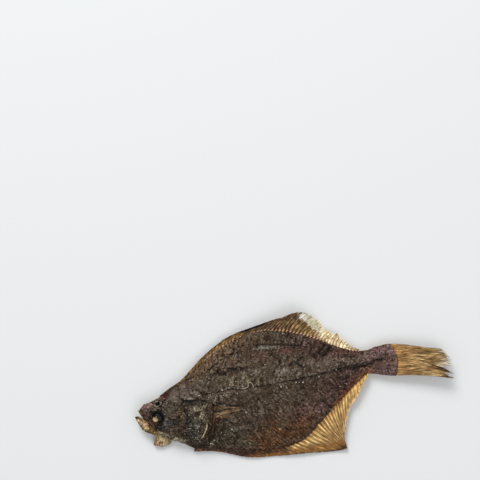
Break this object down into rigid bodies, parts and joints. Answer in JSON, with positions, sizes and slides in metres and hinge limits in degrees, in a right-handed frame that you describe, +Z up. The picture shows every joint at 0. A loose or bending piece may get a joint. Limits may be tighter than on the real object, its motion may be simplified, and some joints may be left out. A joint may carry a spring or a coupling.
{
  "type": "dried flounder",
  "caption": "Whole flatfish dried flat for eating, lying on its blind side, with rayed fins along back and belly, a narrow tail fin, both eyes on the upper side and an open mouth.",
  "frame": {"origin": "on the surface the fish lies on, under the middle of its outline seen from above", "axes": "+X from the mouth to the tail, +Y towards the back fin, +Z up out of the eyed side"},
  "size_m": [0.24, 0.1096, 0.0137],
  "materials": {
    "dried_skin": "dry dark skin, faintly scaled",
    "dried_fin": "horny, slightly see-through",
    "blind_skin": "dry pale skin",
    "jaw_skin": "dry, slightly greasy",
    "dried_eye": "dull gloss",
    "dry_crumb": "matt salt and fibre specks"
  },
  "bodies": {
    "root": {"flounder": "dried_skin"}
  },
  "joints": []
}
